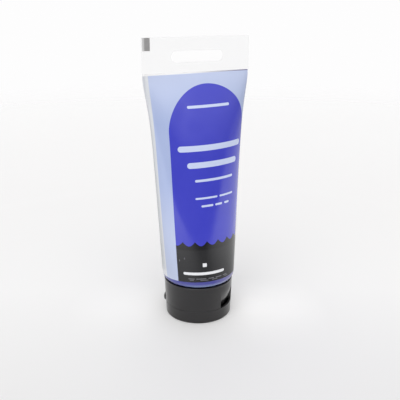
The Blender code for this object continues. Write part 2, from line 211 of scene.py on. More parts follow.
CEILING_SHARPNESS = 2.0
LIGHT_SHARPNESS = 14.0
LEFT_LIGHT, LEFT_STRENGTH = (-0.62, -0.47, 0.62), 2.2
RIGHT_LIGHT, RIGHT_STRENGTH = (-0.15, -0.76, 0.62), 1.2
TABLE_EDGE = 0.190
TABLE_EDGE_ANGLE = math.radians(-21.0)
TABLE_RADIUS = 3.0
CARD_HEIGHT = 0.3 * MM
CARD_START = 0.060
BRIGHT_CARD = 1.25
DARK_CARD = 0.05
CARD_SHADE = 0.20  # share of a card's light left straight in front of the tube
CARD_SHADE_LEAN, CARD_SHADE_RAMP = 0.09, (0.02, 0.15)
# The share left, and the distances between which the rest fades
CARD_BEHIND = (0.84, -0.04, 0.08)
CARD_FAR = (0.30, 0.35, 0.90)
CARD_BACK = (0.60, 0.08, 0.30)

# Camera
CAMERA_PLACE = (-0.148955, -0.264324, 0.162698)
CAMERA_TARGET = (0.0, 0.0, 0.080)
CAMERA_LENS = 52.46
CAMERA_SHIFT = (0.0053, -0.0664)
CAMERA_ROLL = math.radians(-0.19)


# ---- shape helpers

def outward(angle):
    """The horizontal direction at an angle from the front, towards +X."""
    return np.array([math.sin(angle), -math.cos(angle), 0.0])


def cap_radius(z):
    return CAP_FOOT_RADIUS + (CAP_RIM_RADIUS - CAP_FOOT_RADIUS) * z / CAP_HEIGHT


def smooth_step(x):
    x = np.clip(x, 0.0, 1.0)
    return x * x * (3.0 - 2.0 * x)


def softened(points, radius, steps=4):
    """An outline of (radius, z) points with each corner rounded; the two ends stay as they are.

    radius is one number or one for each point, and it shrinks where the sides are short.
    """
    points = [np.array(p, float) for p in points]
    radii = [radius] * len(points) if np.isscalar(radius) else list(radius)
    rounded = [points[0]]
    for before, corner, after, r in zip(points, points[1:], points[2:], radii[1:]):
        into, out = before - corner, after - corner
        reach = min(np.linalg.norm(into), np.linalg.norm(out)) * 0.45
        into, out = into / np.linalg.norm(into), out / np.linalg.norm(out)
        half = math.acos(np.clip(into @ out, -1.0, 1.0)) / 2.0
        if r == 0.0 or half > math.radians(86.0):
            rounded.append(corner)
            continue
        back = min(r / math.tan(half), reach)
        start, end = corner + into * back, corner + out * back
        rounded.append(corner + into * back * 1.25)
        for i in range(steps + 1):
            t = i / steps
            rounded.append((1 - t) ** 2 * start + 2 * t * (1 - t) * corner + t ** 2 * end)
        rounded.append(corner + out * back * 1.25)
    rounded.append(points[-1])
    return rounded


def mesh_from(bm, name):
    mesh = bpy.data.meshes.new(name)
    bm.to_mesh(mesh)
    bm.free()
    return mesh


def in_scene(name, data):
    obj = bpy.data.objects.new(name, data)
    bpy.context.scene.collection.objects.link(obj)
    return obj


def grid_mesh(name, points, rows_close=False, poles=False):
    """A closed mesh through rows of points that run round an axis.

    The last row joins the first when rows_close is set, poles gather each end row into
    one point, and without either a flat face closes each end.
    """
    rows, columns = points.shape[:2]
    bm = bmesh.new()
    lattice = []
    for r in range(rows):
        if poles and r in (0, rows - 1):
            lattice.append([bm.verts.new(points[r, 0])] * columns)
        else:
            lattice.append([bm.verts.new(p) for p in points[r]])
    pairs = list(zip(lattice, lattice[1:]))
    if rows_close:
        pairs.append((lattice[-1], lattice[0]))
    for low, high in pairs:
        for c in range(columns):
            d = (c + 1) % columns
            corners = [low[c], low[d], high[d], high[c]]
            corners = [v for i, v in enumerate(corners) if v not in corners[:i]]
            bm.faces.new(corners)
    if not (rows_close or poles):
        bm.faces.new(lattice[0])
        bm.faces.new(lattice[-1])
    bmesh.ops.recalc_face_normals(bm, faces=bm.faces)
    if bm.calc_volume(signed=True) < 0.0:
        bmesh.ops.reverse_faces(bm, faces=bm.faces)
    mesh = mesh_from(bm, name)
    mesh.shade_smooth()
    return mesh


def piece(name, mesh, material, body, slot, *replaced):
    obj = in_scene(name, mesh)
    if material:
        mesh.materials.append(material)
    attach(obj, body)
    if replaced:
        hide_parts(*replaced)


def arc(center_radius, center_z, radius, start, end, steps):
    """Points of (radius, z) along an arc between two angles in degrees from the horizontal."""
    points = []
    for i in range(steps + 1):
        a = math.radians(start + (end - start) * i / steps)
        points.append((center_radius + radius * math.cos(a), center_z + radius * math.sin(a)))
    return points


def even_angles(count):
    return np.linspace(0.0, TURN, count, endpoint=False)


def turned(radius, z, angles):
    """Rows of points at these angles from the front, towards +X."""
    return np.stack([radius * np.sin(angles), -radius * np.cos(angles), z + 0.0 * angles], -1)


def around(profile, columns):
    """A profile of (radius, z) turned about Z, as rows of points."""
    profile = np.array(profile)
    return turned(profile[:, :1], profile[:, 1:], even_angles(columns))


def ridge(angle, z, start_z):
    """How much of a thread's height stands at an angle and height, from 0 to 1."""
    total = np.zeros(np.broadcast(angle, z).shape)
    for lap in range(3):
        swept = angle + TURN * lap
        along = swept / (TURN * THREAD_TURNS)
        center = start_z + PITCH * swept / TURN
        slope = THREAD_HALF_ROOT - THREAD_HALF_CREST
        flank = 1.0 - smooth_step((np.abs(z - center) - THREAD_HALF_CREST) / slope)
        ends = smooth_step(along / THREAD_RUNOUT) * smooth_step((1.0 - along) / THREAD_RUNOUT)
        total = np.maximum(total, flank * ends)
    return total


# ---- shader helpers

def plug(tree, value, slot):
    """Links a value or a socket to a slot, or sets the slot to a plain number or colour."""
    source = value.socket if isinstance(value, Value) else value
    if isinstance(source, bpy.types.NodeSocket):
        tree.links.new(source, slot)
    else:
        slot.default_value = source


class Value:
    """A number that varies over a surface, worked out by shader nodes."""

    def __init__(self, tree, socket):
        self.tree, self.socket = tree, socket

    def math(self, operation, *others, clamp=False):
        node = self.tree.nodes.new("ShaderNodeMath")
        node.operation = operation
        node.use_clamp = clamp
        for slot, value in zip(node.inputs, (self, *others)):
            plug(self.tree, value, slot)
        return Value(self.tree, node.outputs[0])

    def __add__(self, other):
        return self.math("ADD", other)

    def __sub__(self, other):
        return self.math("SUBTRACT", other)

    def __mul__(self, other):
        return self.math("MULTIPLY", other)

    def __truediv__(self, other):
        return self.math("DIVIDE", other)

    def absolute(self):
        return self.math("ABSOLUTE")

    def at_least(self, other):
        return self.math("MAXIMUM", other)

    def sine(self):
        return self.math("SINE")

    def floor(self):
        return self.math("FLOOR")

    def inside(self, blur):
        """1 where a signed distance is below zero, with an edge this wide."""
        return (self * (-1.0 / blur)).math("ADD", 0.5, clamp=True)

    def ramp(self, low, high):
        """0 below low, 1 above high."""
        return (self - low).math("MULTIPLY", 1.0 / (high - low), clamp=True)

    def fade(self, share, low, high):
        """1 below low, share above high."""
        return self.ramp(low, high) * (share - 1.0) + 1.0


def hypotenuse(a, b):
    return (a * a + b * b).math("SQRT")


def capsule(u, v, center_u, center_v, half_length, radius):
    """Signed distance to a bar with round ends that lies along u."""
    across = ((u - center_u).absolute() - half_length).at_least(0.0)
    return hypotenuse(across, v - center_v) - radius


def block(u, v, center_u, center_v, half_width, half_height, corner=0.0):
    """Signed distance to an upright rectangle with rounded corners."""
    across = ((u - center_u).absolute() - (half_width - corner)).at_least(0.0)
    up = ((v - center_v).absolute() - (half_height - corner)).at_least(0.0)
    return hypotenuse(across, up) - max(corner, 0.001)


class Surface:
    """One material: a Principled shader and the nodes that drive it."""

    def __init__(self, name, **constants):
        self.material = bpy.data.materials.new(name)
        self.material.use_nodes = True
        self.tree = self.material.node_tree
        self.shader = self.tree.nodes["Principled BSDF"]
        for socket, value in constants.items():
            self.shader.inputs[socket.replace("_", " ")].default_value = value

    def node(self, kind, **inputs):
        made = self.tree.nodes.new(kind)
        for name, value in inputs.items():
            plug(self.tree, value, made.inputs[name.replace("_", " ")])
        return made

    def parts(self, vector):
        """The three numbers of a vector."""
        split = self.node("ShaderNodeSeparateXYZ", Vector=vector)
        return [Value(self.tree, socket) for socket in split.outputs]

    def film(self):
        """The film's own coordinates in millimetres: u round it and v up it."""
        source = self.tree.nodes.new("ShaderNodeUVMap")
        source.uv_map = "film"
        return self.parts(source.outputs[0])[:2]

    def place(self, scale=(1.0, 1.0, 1.0)):
        """Object coordinates, stretched by scale."""
        source = self.tree.nodes.new("ShaderNodeTexCoord").outputs["Object"]
        return self.node("ShaderNodeMapping", Vector=source, Scale=scale).outputs[0]

    def noise(self, where, scale, detail=3.0, roughness=0.5):
        """Cloudy noise between 0 and 1."""
        made = self.node(
            "ShaderNodeTexNoise", Vector=where, Scale=scale, Detail=detail, Roughness=roughness
        )
        return Value(self.tree, made.outputs[0])

    def mix(self, amount, below, above):
        """below with above laid over it by amount."""
        made = self.tree.nodes.new("ShaderNodeMix")
        made.data_type = "RGBA"
        sockets = {s.identifier: s for s in made.inputs}
        for slot, value in (("Factor_Float", amount), ("A_Color", below), ("B_Color", above)):
            plug(self.tree, (*value, 1.0) if isinstance(value, tuple) else value, sockets[slot])
        return next(s for s in made.outputs if s.identifier == "Result_Color")

    def bump(self, height, strength, distance):
        made = self.node("ShaderNodeBump", Height=height, Strength=strength, Distance=distance)
        self.tree.links.new(made.outputs[0], self.shader.inputs["Normal"])

    def drive(self, socket, value):
        plug(self.tree, value, self.shader.inputs[socket])


# ---- materials

PERIWINKLE = (0.545, 0.620, 0.845)
PERIWINKLE_DEEP = (0.430, 0.520, 0.800)
PERIWINKLE_FOOT = (0.52, 0.58, 0.74)
PERIWINKLE_CLOUD = (0.60, 0.66, 0.88)
ULTRAMARINE = (0.046, 0.052, 0.560)
ULTRAMARINE_PALE = (0.054, 0.060, 0.585)
CHARCOAL = (0.013, 0.013, 0.0155)
# painted shade at the top of the dark band
CHARCOAL_SHADED = (0.002, 0.002, 0.003)
INK_PALE = (0.640, 0.720, 0.960)
INK_WHITE = (0.86, 0.87, 0.90)
INK_GREY = (0.16, 0.16, 0.18)
PAINT_SEEN = (0.070, 0.074, 0.330)
# painted highlight on the shoulder's lower rounding, and painted reflection on its +X side
PAINT_ROUNDING_HIGHLIGHT = (0.180, 0.235, 0.460)
PAINT_SIDE_REFLECTION = (0.330, 0.310, 0.480)
# a near-white painted highlight on the strip of clear film under the weld
FILM_HIGHLIGHT_WHITE = (0.96, 0.96, 0.965)
VIOLET_LINE = (0.10, 0.085, 0.25)
SEAM_WHITE = (0.76, 0.78, 0.82)
SEAM_GREY = (0.62, 0.64, 0.70)
EYE_MARK_WHITE = (0.80, 0.80, 0.80)
# painted shade on the floor paper
PAPER_SHADE = (0.80, 0.797, 0.795)

# Pairs between which a material varies
CLEAR_TONES = ((0.82, 0.83, 0.84), (0.90, 0.905, 0.91))
CLEAR_EDGE_TONES = ((0.52, 0.54, 0.57), (0.66, 0.67, 0.70))
EYE_MARK_TONES = ((0.31, 0.305, 0.305), (0.38, 0.375, 0.375))
CAP_TONES = ((0.010, 0.0095, 0.0105), (0.018, 0.017, 0.018))
NECK_TONES = ((0.80, 0.80, 0.78), (0.88, 0.88, 0.86))
PAINT_TONES = ((0.035, 0.035, 0.40), (0.05, 0.05, 0.48))
FOAM_TONES = ((0.82, 0.82, 0.80), (0.90, 0.90, 0.88))
PAPER_TONES = ((0.895, 0.89, 0.885), (0.915, 0.912, 0.91))


def lay(surface, below, distance, ink, blur=0.12, amount=1.0):
    """Prints a shape, given by its signed distance in millimetres, over what is there."""
    return surface.mix(distance.inside(blur) * amount, below, ink)


def bars(surface, below, u, v, rows, ink):
    """Rows of round-ended bars that stand in for lines of words."""
    for center_v, height, spans in rows:
        for start, end in spans:
            half = (end - start) / 2.0 - height / 2.0
            shape = capsule(u, v, (start + end) / 2.0, center_v, half, height / 2.0)
            below = lay(surface, below, shape, ink, 0.15)
    return below


# Each row: height of its middle, thickness, and the spans that its bars cover
FRONT_ROWS = [
    (117.7, 1.4, [(-10.8, 14.6)]),
    (97.0, 3.0, [(-17.6, 22.6)]),
    (88.4, 3.0, [(-13.2, 18.2)]),
    (80.3, 1.3, [(-9.5, 14.4)]),
    (71.0, 1.0, [(-9.7, 2.9), (4.3, 14.2)]),
    (66.8, 1.1, [(-6.7, 0.1), (1.3, 5.8), (7.4, 10.8)]),
]
NAME_ROW = [(30.2, 1.5, [(-18.0, 5.3)])]
SMALL_ROWS = [
    (27.3, 0.5, [(-15.4, -12.0), (-11.2, -5.8), (-4.6, -1.4), (-0.4, 3.4), (4.4, 7.2)]),
    (26.5, 0.4, [(-14.8, -12.6), (-9.0, -4.6), (-2.6, 0.6), (5.6, 8.2)]),
    (37.2, 1.8, [(-20.1, -19.6)]),
    (38.6, 1.6, [(-17.2, -16.8)]),
]

# On the back u runs from its middle
BACK_U = 61.3
BACK_CENTER, BACK_HALF = -6.0, 18.0
BACK_ROWS = [
    (121.0, 2.6, [(-20.0, 8.0)]),
    (115.5, 1.5, [(-16.0, 4.0)]),
    (62.0, 1.6, [(-18.0, 6.0)]),
    (44.5, 1.4, [(-19.0, -9.0), (-6.5, 2.5), (4.6, 9.0)]),
]
BACK_BOX_V, BACK_BOX_HALF_HEIGHT, BACK_BOX_CORNER, BACK_BOX_HALF_LINE = 44.5, 8.0, 1.2, 0.2
# Height of the middle, half height and line pitch of each block of small print
BACK_BLOCKS = [(100.0, 10.0, 2.5), (77.5, 7.5, 2.1)]
DASH_STRENGTH = 0.85


def small_print(surface, below, u, v, center_v, half_height, pitch):
    """A block of lines of short dashes on the back, in place of small print."""
    row = (v / pitch).floor()
    line = (v - (row + 0.5) * pitch).absolute() - pitch * 0.17
    spot = surface.node("ShaderNodeCombineXYZ")
    for slot, value in zip(spot.inputs, (u * 0.55, row * 7.3)):
        plug(surface.tree, value, slot)
    gap = surface.noise(spot.outputs[0], 1.0, 0.0) * -6.0 + 2.6
    edge = block(u, v, BACK_CENTER, center_v, BACK_HALF, half_height)
    dashes = line.at_least(gap).at_least(edge)
    return lay(surface, below, dashes, ULTRAMARINE, 0.25, DASH_STRENGTH)


def printed_film():
    surface = Surface("printed_film", IOR=1.6)
    u, v = surface.film()
    where = surface.place()

    # Pale ground, a little deeper half way down, with slow unevenness in the ink
    ground = surface.mix(v.ramp(*GROUND_TOP), PERIWINKLE_DEEP, PERIWINKLE)
    ground = surface.mix(v.ramp(*GROUND_LOW), ground, PERIWINKLE)
    ground = surface.mix(v.ramp(*GROUND_FOOT) * 0.5, ground, PERIWINKLE_FOOT)
    cloud = surface.noise(where, 60.0)
    ground = surface.mix(cloud.ramp(0.35, 0.75) * 0.10, ground, PERIWINKLE_CLOUD)

    # The arch, with a scalloped dark band at its foot
    rise = (v - (PANEL_TOP - PANEL_HALF)).at_least(0.0)
    arch = hypotenuse(u - PANEL_CENTER, rise) - PANEL_HALF
    swing = ((u - BAND_CUSP_U) * (math.pi / BAND_PITCH)).sine().absolute()
    band = arch.at_least(v + swing * BAND_DIP - BAND_CUSP)
    blue = surface.mix(cloud.ramp(0.3, 0.8), ULTRAMARINE, ULTRAMARINE_PALE)
    art = lay(surface, ground, arch, blue)
    # Painted shade: the top of the dark band turns darker still
    dark = surface.mix(v.ramp(BAND_SHADE_START - 0.4, BAND_SHADE_START + 0.4), CHARCOAL, CHARCOAL_SHADED)
    art = lay(surface, art, band, dark)

    # Generic marks in place of the words
    art = bars(surface, art, u, v, FRONT_ROWS, INK_PALE)
    art = bars(surface, art, u, v, NAME_ROW, INK_WHITE)
    art = bars(surface, art, u, v, SMALL_ROWS, INK_GREY)
    art = lay(surface, art, block(u, v, *SQUARE), INK_WHITE)

    # The back: a heading, two blocks of small print and a plain box
    back = u - (u.math("SIGN") * BACK_U)
    art = bars(surface, art, back, v, BACK_ROWS, ULTRAMARINE)
    for center_v, half_height, pitch in BACK_BLOCKS:
        art = small_print(surface, art, back, v, center_v, half_height, pitch)
    box = block(
        back, v, BACK_CENTER, BACK_BOX_V, BACK_HALF, BACK_BOX_HALF_HEIGHT, BACK_BOX_CORNER
    )
    art = lay(surface, art, box.absolute() - BACK_BOX_HALF_LINE, ULTRAMARINE)

    # The unprinted strip over the seam, its edges a little greyer
    across = u - (v - SEAM_LEAN_FROM) * SEAM_LEAN
    seam = (across - (SEAM_START + SEAM_END) / 2.0).absolute() - (SEAM_END - SEAM_START) / 2.0
    edge = (seam + SEAM_LINE_INSET).absolute() - SEAM_LINE_HALF
    strip = surface.mix(edge.inside(0.8) * 0.6, SEAM_WHITE, SEAM_GREY)
    art = lay(surface, art, seam, strip, 0.3)

    # Below the label the paint shows through the clear shoulder, lighter on the lower rounding as
    # a painted highlight, lighter towards +X as a painted reflection and darker towards -X as
    # painted shade
    depth = v.ramp(SLEEVE_FLOOR_Z / MM + SHOULDER_MARGIN, LABEL_FOOT - SHOULDER_MARGIN)
    shoulder = surface.mix(depth, PAINT_ROUNDING_HIGHLIGHT, PAINT_SEEN)
    shoulder = surface.mix(u.ramp(*SHOULDER_REFLECTION_SPAN) * 0.85, shoulder, PAINT_SIDE_REFLECTION)
    shoulder = surface.mix(u.ramp(*SHOULDER_SHADE_SPAN) * 0.8, shoulder, PAINT_SEEN)
    foot = v * -1.0 + LABEL_FOOT - u * u * LABEL_FOOT_DROP
    skin = lay(surface, shoulder, foot, art)

    # Above the label a strip of clear film ends in the weld, with paint caught at one side;
    # elsewhere the strip is painted near white as a painted highlight
    radius = TUBE_RADIUS / MM
    top = v * -1.0 + LABEL_TOP + (u * (1.0 / radius)).sine() * (LABEL_TOP_CLIMB * radius)
    caught = u.ramp(*CAUGHT_START) * u.ramp(*CAUGHT_END) * 0.9
    line = surface.mix(caught, FILM_HIGHLIGHT_WHITE, VIOLET_LINE)
    above = surface.mix((top + 0.5).inside(0.3), line, FILM_HIGHLIGHT_WHITE)
    skin = lay(surface, above, top * -1.0, skin, 0.2)
    surface.drive("Base Color", skin)

    rub = surface.noise(surface.place((1.0, 1.0, 0.35)), 140.0, 4.0)
    surface.drive("Roughness", rub.ramp(0.2, 0.9) * 0.10 + 0.10)
    fine = surface.noise(surface.place((1.0, 1.0, 0.5)), 900.0, 2.0)
    slow = surface.noise(where, 70.0, 2.0)
    surface.bump(fine * 0.12 + slow, 0.25, 0.25 * MM)
    return surface.material


def clear_film():
    surface = Surface("clear_film", Alpha=0.09)
    where = surface.place()
    cloud = surface.noise(where, 120.0)
    surface.drive("Base Color", surface.mix(cloud, *CLEAR_TONES))
    surface.drive("Roughness", cloud.ramp(0.2, 0.8) * 0.12 + 0.06)
    surface.bump(surface.noise(where, 160.0, 2.0), 0.35, 0.2 * MM)
    return surface.material


def clear_edge():
    surface = Surface("clear_film_edge", Alpha=0.45)
    cloud = surface.noise(surface.place(), 400.0)
    surface.drive("Base Color", surface.mix(cloud, *CLEAR_EDGE_TONES))
    surface.drive("Roughness", cloud * 0.2 + 0.15)
    return surface.material


def eye_mark_ink():
    surface = Surface("eye_mark_ink")
    cloud = surface.noise(surface.place(), 900.0, 4.0)
    ink = surface.mix(cloud, *EYE_MARK_TONES)
    x = surface.parts(surface.place())[0] / MM
    surface.drive("Base Color", surface.mix(x.ramp(*EYE_MARK_PALE) * 0.75, ink, EYE_MARK_WHITE))
    surface.drive("Roughness", cloud * 0.2 + 0.25)
    return surface.material


def cap_plastic():
    """Black moulded plastic with a fine spark-eroded grain and a few lighter rubs."""
    surface = Surface("cap_plastic", Specular_IOR_Level=0.56)
    where = surface.place()
    grain = surface.noise(where, 5200.0, 2.0)
    cloud = surface.noise(surface.place((1.0, 1.0, 0.3)), 180.0, 4.0)
    surface.drive("Base Color", surface.mix(cloud.ramp(0.3, 0.8), *CAP_TONES))
    surface.drive("Roughness", cloud.ramp(0.2, 0.9) * 0.08 + 0.17)
    surface.bump(grain + cloud * 0.6, 0.10, 0.05 * MM)
    return surface.material


def grained(name, tones, roughness, grain_scale):
    """A plain material that varies between two tones and has a fine grain."""
    surface = Surface(name)
    where = surface.place()
    grain = surface.noise(where, grain_scale, 3.0)
    cloud = surface.noise(where, 150.0)
    surface.drive("Base Color", surface.mix(cloud, *tones))
    surface.drive("Roughness", grain * 0.2 + roughness)
    surface.bump(grain, 0.25, 0.1 * MM)
    return surface.material


# ---- tube

def section(half_width, half_depth, power, angles):
    sines = np.sin(angles)
    return half_width * np.cos(angles), half_depth * sines * np.abs(sines) ** power


def half_width_for(half_depth, power, perimeter):
    """The half width that gives a section this perimeter, because the wall doesn't stretch."""
    angles = np.arange(720) * TURN / 720
    low, high = 0.2 * perimeter / math.pi, 0.26 * perimeter
    for _ in range(40):
        middle = (low + high) / 2.0
        x, y = section(middle, half_depth, power, angles)
        length = np.hypot(np.roll(x, -1) - x, np.roll(y, -1) - y).sum()
        low, high = (middle, high) if length < perimeter else (low, middle)
    return (low + high) / 2.0


def sleeve_angles():
    """Round the section from the middle of the back, by -X, the front and +X."""
    return math.radians(90.0) + np.arange(SLEEVE_COLUMNS) * TURN / SLEEVE_COLUMNS


def sleeve_row(t, offset):
    """The sleeve's section t of the way from the seal to the round end, grown by offset."""
    inside = TUBE_RADIUS - WALL
    swell = SWELL_SHARE * math.tanh(t / SWELL_REACH) + (1.0 - SWELL_SHARE) * t
    end_swell = SWELL_SHARE * math.tanh(1.0 / SWELL_REACH) + (1.0 - SWELL_SHARE)
    half_depth = inside * swell / end_swell
    power = LENS_SHARPNESS * (1.0 - t) ** 3
    half_width = half_width_for(half_depth, power, TURN * inside)
    angles = sleeve_angles()
    x, y = section(half_width, half_depth, power, angles)
    normal_x = half_depth * (power + 1.0) * np.abs(np.sin(angles)) ** power * np.cos(angles)
    normal_y = half_width * np.sin(angles)
    size = np.maximum(np.hypot(normal_x, normal_y), 1e-9)
    z = SEAL_Z + (ROUND_Z - SEAL_Z) * t
    return np.stack([x + normal_x / size * offset, y + normal_y / size * offset, x * 0.0 + z], -1)


def circle_row(radius, z):
    angles = sleeve_angles()
    return np.stack([radius * np.cos(angles), radius * np.sin(angles), angles * 0.0 + z], -1)


def corner_arc(inset, steps):
    """The tube's lower corner from its side to its floor, inset from the outside."""
    center_radius, center_z = TUBE_RADIUS - CORNER_RADIUS, SLEEVE_FLOOR_Z + CORNER_RADIUS
    return arc(center_radius, center_z, CORNER_RADIUS - inset, 0.0, -90.0, steps)


def corner_rows(inset, steps):
    return [circle_row(radius, z) for radius, z in corner_arc(inset, steps)]


# Soft dents in the filled tube: place round the film, height, half sizes and depth, in millimetres
DENTS = [
    (-14.0, 113.0, 3.6, 7.5, 0.50),
    (-9.0, 106.0, 5.0, 5.0, 0.20),
    (10.0, 99.0, 10.0, 14.0, 0.12),
    (-24.0, 84.0, 8.0, 22.0, 0.10),
    (30.0, 70.0, 9.0, 16.0, 0.10),
    (52.0, 92.0, 12.0, 16.0, 0.20),
    (-46.0, 60.0, 10.0, 18.0, 0.15),
]


def film_u(rows):
    """Distance round the film in millimetres from the middle of the front, for each row."""
    steps = np.linalg.norm(np.roll(rows, -1, axis=1) - rows, axis=2)
    length = np.cumsum(steps, axis=1)
    front = SLEEVE_COLUMNS // 2
    around_to = np.concatenate([length[:, :1] * 0.0, length], axis=1)
    return (around_to - around_to[:, front:front + 1]) / MM


def make_sleeve(material):
    spread = [(i / SLEEVE_ROWS) ** SLEEVE_ROW_POWER for i in range(SLEEVE_ROWS + 1)]
    outer = np.array([sleeve_row(t, WALL) for t in spread])

    # Dents and the small puckers that the weld leaves
    u = film_u(outer)[:, :-1]
    v = outer[:, :, 2] / MM
    inward = np.zeros_like(u)
    for center_u, center_v, half_u, half_v, depth in DENTS:
        inward += depth * np.exp(-((u - center_u) / half_u) ** 2 - ((v - center_v) / half_v) ** 2)
    below = SEAL_Z / MM - v
    puckers = np.sin(u * 1.3 + 2.0 * np.sin(u * 0.37)) * PUCKER_DEPTH
    inward += puckers * smooth_step(below / 2.0) * np.exp(-below / PUCKER_REACH)
    side = np.stack([outer[:, :, 0] * 0.3, outer[:, :, 1], outer[:, :, 2] * 0.0], -1)
    side /= np.maximum(np.linalg.norm(side, axis=2, keepdims=True), 1e-9)
    fade = smooth_step((v - 30.0) / 8.0) * smooth_step(below / 1.0)
    outer -= side * (inward * fade)[:, :, None] * MM

    shares = [(i / INSIDE_ROWS) ** INSIDE_ROW_POWER for i in range(INSIDE_ROWS + 1)]
    inner = [sleeve_row(CAVITY_START + (1.0 - CAVITY_START) * s, 0.0) for s in reversed(shares)]
    edge = corner_rows(0.0, 10)[1:]
    lip = [circle_row(LIP_RADIUS, SLEEVE_FLOOR_Z), circle_row(LIP_RADIUS, SLEEVE_FLOOR_Z + WALL)]
    inner_edge = corner_rows(WALL, 6)[::-1]
    rows = np.array(list(outer) + edge + lip + inner_edge + inner)
    mesh = grid_mesh("sleeve_film", rows)

    # Film coordinates on the corners of each face; u carries on past the join at the back
    u, v = film_u(rows), rows[:, 0, 2] / MM
    layer = mesh.uv_layers.new(name="film")
    count = SLEEVE_COLUMNS
    for polygon in mesh.polygons:
        places = [(vertex // count, vertex % count) for vertex in polygon.vertices]
        if {c for _, c in places} == {0, count - 1}:
            places = [(r, count if c == 0 else c) for r, c in places]
        for loop, (r, c) in zip(polygon.loop_indices, places):
            layer.data[loop].uv = (u[r, c], v[r])
    piece("sleeve_film", mesh, material, "tube", "printed_film", "tube_sleeve")


def rounded_rectangle(width, height, radius, steps):
    points = []
    for quarter, (sx, sy) in enumerate(((1, 1), (-1, 1), (-1, -1), (1, -1))):
        for i in range(steps + 1):
            a = math.radians(90.0 * (quarter + i / steps))
            points.append((
                sx * (width / 2.0 - radius) + radius * math.cos(a),
                sy * (height / 2.0 - radius) + radius * math.sin(a),
            ))
    return points


def make_flag(face_material, edge_material):
    """The flat clear end: one slab with its hang slot, its edges eased."""
    bottom = SEAL_Z + 0.02 * MM
    middle = (FLAG_TOP_Z + bottom) / 2.0
    curve = bpy.data.curves.new("end_flag_film", "CURVE")
    curve.dimensions = "2D"
    curve.fill_mode = "BOTH"
    curve.extrude = WALL - FLAG_EASE
    curve.bevel_depth = FLAG_EASE
    curve.bevel_resolution = 2
    curve.offset = -FLAG_EASE
    outlines = [
        rounded_rectangle(2.0 * FLAG_HALF_WIDTH, FLAG_TOP_Z - bottom, FLAG_CORNER, 6),
        [(x, y + SLOT_Z - middle) for x, y in
         rounded_rectangle(SLOT_LENGTH, SLOT_HEIGHT, SLOT_HEIGHT / 2.0 - 0.01 * MM, 14)],
    ]
    for outline in outlines:
        spline = curve.splines.new("POLY")
        spline.points.add(len(outline) - 1)
        for spot, (x, y) in zip(spline.points, outline):
            spot.co = (x, y, 0.0, 1.0)
        spline.use_cyclic_u = True
    shape = in_scene("end_flag_shape", curve)
    bpy.context.view_layer.update()
    evaluated = shape.evaluated_get(bpy.context.evaluated_depsgraph_get())
    mesh = bpy.data.meshes.new_from_object(evaluated)
    bpy.data.objects.remove(shape)
    bm = bmesh.new()
    bm.from_mesh(mesh)
    bmesh.ops.remove_doubles(bm, verts=bm.verts, dist=0.001 * MM)
    bmesh.ops.recalc_face_normals(bm, faces=bm.faces)
    for face in bm.faces:
        on_edge = abs(face.normal.z) <= 0.95
        face.material_index = int(on_edge)
        face.smooth = on_edge
    bm.to_mesh(mesh)
    bm.free()
    mesh.materials.clear()
    mesh.materials.append(face_material)
    mesh.materials.append(edge_material)
    turn = Matrix.Translation((0.0, 0.0, middle)) @ Matrix.Rotation(math.radians(90.0), 4, "X")
    mesh.transform(turn)
    piece("end_flag_film", mesh, None, "tube", "clear_film", "end_flag")


def make_eye_mark(material):
    """The grey registration mark printed on the film's outside, at a top corner."""
    center = Vector((EYE_MARK_X, -WALL + EYE_MARK_SUNK, EYE_MARK_Z))
    bm = bmesh.new()
    bmesh.ops.create_grid(bm, x_segments=6, y_segments=8, size=0.5)
    bmesh.ops.scale(bm, vec=(*EYE_MARK_SIZE, 1.0), verts=bm.verts)
    top = bmesh.ops.extrude_face_region(bm, geom=bm.faces[:])
    risen = [v for v in top["geom"] if isinstance(v, bmesh.types.BMVert)]
    bmesh.ops.translate(bm, vec=(0.0, 0.0, EYE_MARK_THICKNESS), verts=risen)
    bmesh.ops.recalc_face_normals(bm, faces=bm.faces)
    mesh = mesh_from(bm, "eye_mark")
    mesh.transform(Matrix.Translation(center) @ Matrix.Rotation(math.radians(90.0), 4, "X"))
    piece("eye_mark", mesh, material, "tube", "clear_film")


def make_neck(material):
    """The moulded shoulder and the threaded neck, under the sleeve."""
    outer = TUBE_RADIUS - WALL - HEAD_GAP
    inner = outer - HEAD_RIM_THICKNESS
    step = LIP_RADIUS - HEAD_GAP
    inset = WALL + HEAD_GAP
    shoulder_z = SHOULDER_INSIDE_Z + SHOULDER_SLOPE
    start = [(outer, HEAD_RIM_Z - 0.3 * MM)] + corner_arc(inset, 8) + softened([
        (step, SLEEVE_FLOOR_Z + inset), (step, SLEEVE_FLOOR_Z), (NECK_RADIUS, SLEEVE_FLOOR_Z),
        (NECK_RADIUS, SLEEVE_FLOOR_Z - 1.0 * MM)], 0.25 * MM)
    thread_rows = [(NECK_RADIUS, z) for z in np.arange(*NECK_THREAD_SPAN) * MM]
    end = softened([
        (NECK_RADIUS, NECK_END_Z + 0.45 * MM), (NECK_RADIUS, NECK_END_Z), (NECK_BORE, NECK_END_Z),
        (NECK_BORE, SHOULDER_INSIDE_Z), (inner, shoulder_z), (inner, HEAD_RIM_Z),
        (outer, HEAD_RIM_Z), (outer, HEAD_RIM_Z - 0.3 * MM)], 0.3 * MM)[:-1]
    points = around(start + thread_rows + end, NECK_COLUMNS)
    first = len(start)
    heights = np.array([z for _, z in thread_rows])[:, None]
    height = ridge(even_angles(NECK_COLUMNS)[None, :], heights, THREAD_START_Z)
    grow = 1.0 + height * (NECK_THREAD_RADIUS - NECK_RADIUS) / NECK_RADIUS
    points[first:first + len(thread_rows), :, :2] *= grow[:, :, None]
    mesh = grid_mesh("neck_and_shoulder", points, rows_close=True)
    piece("neck_and_shoulder", mesh, material, "tube", "neck_plastic", "tube_head")


# ---- cap

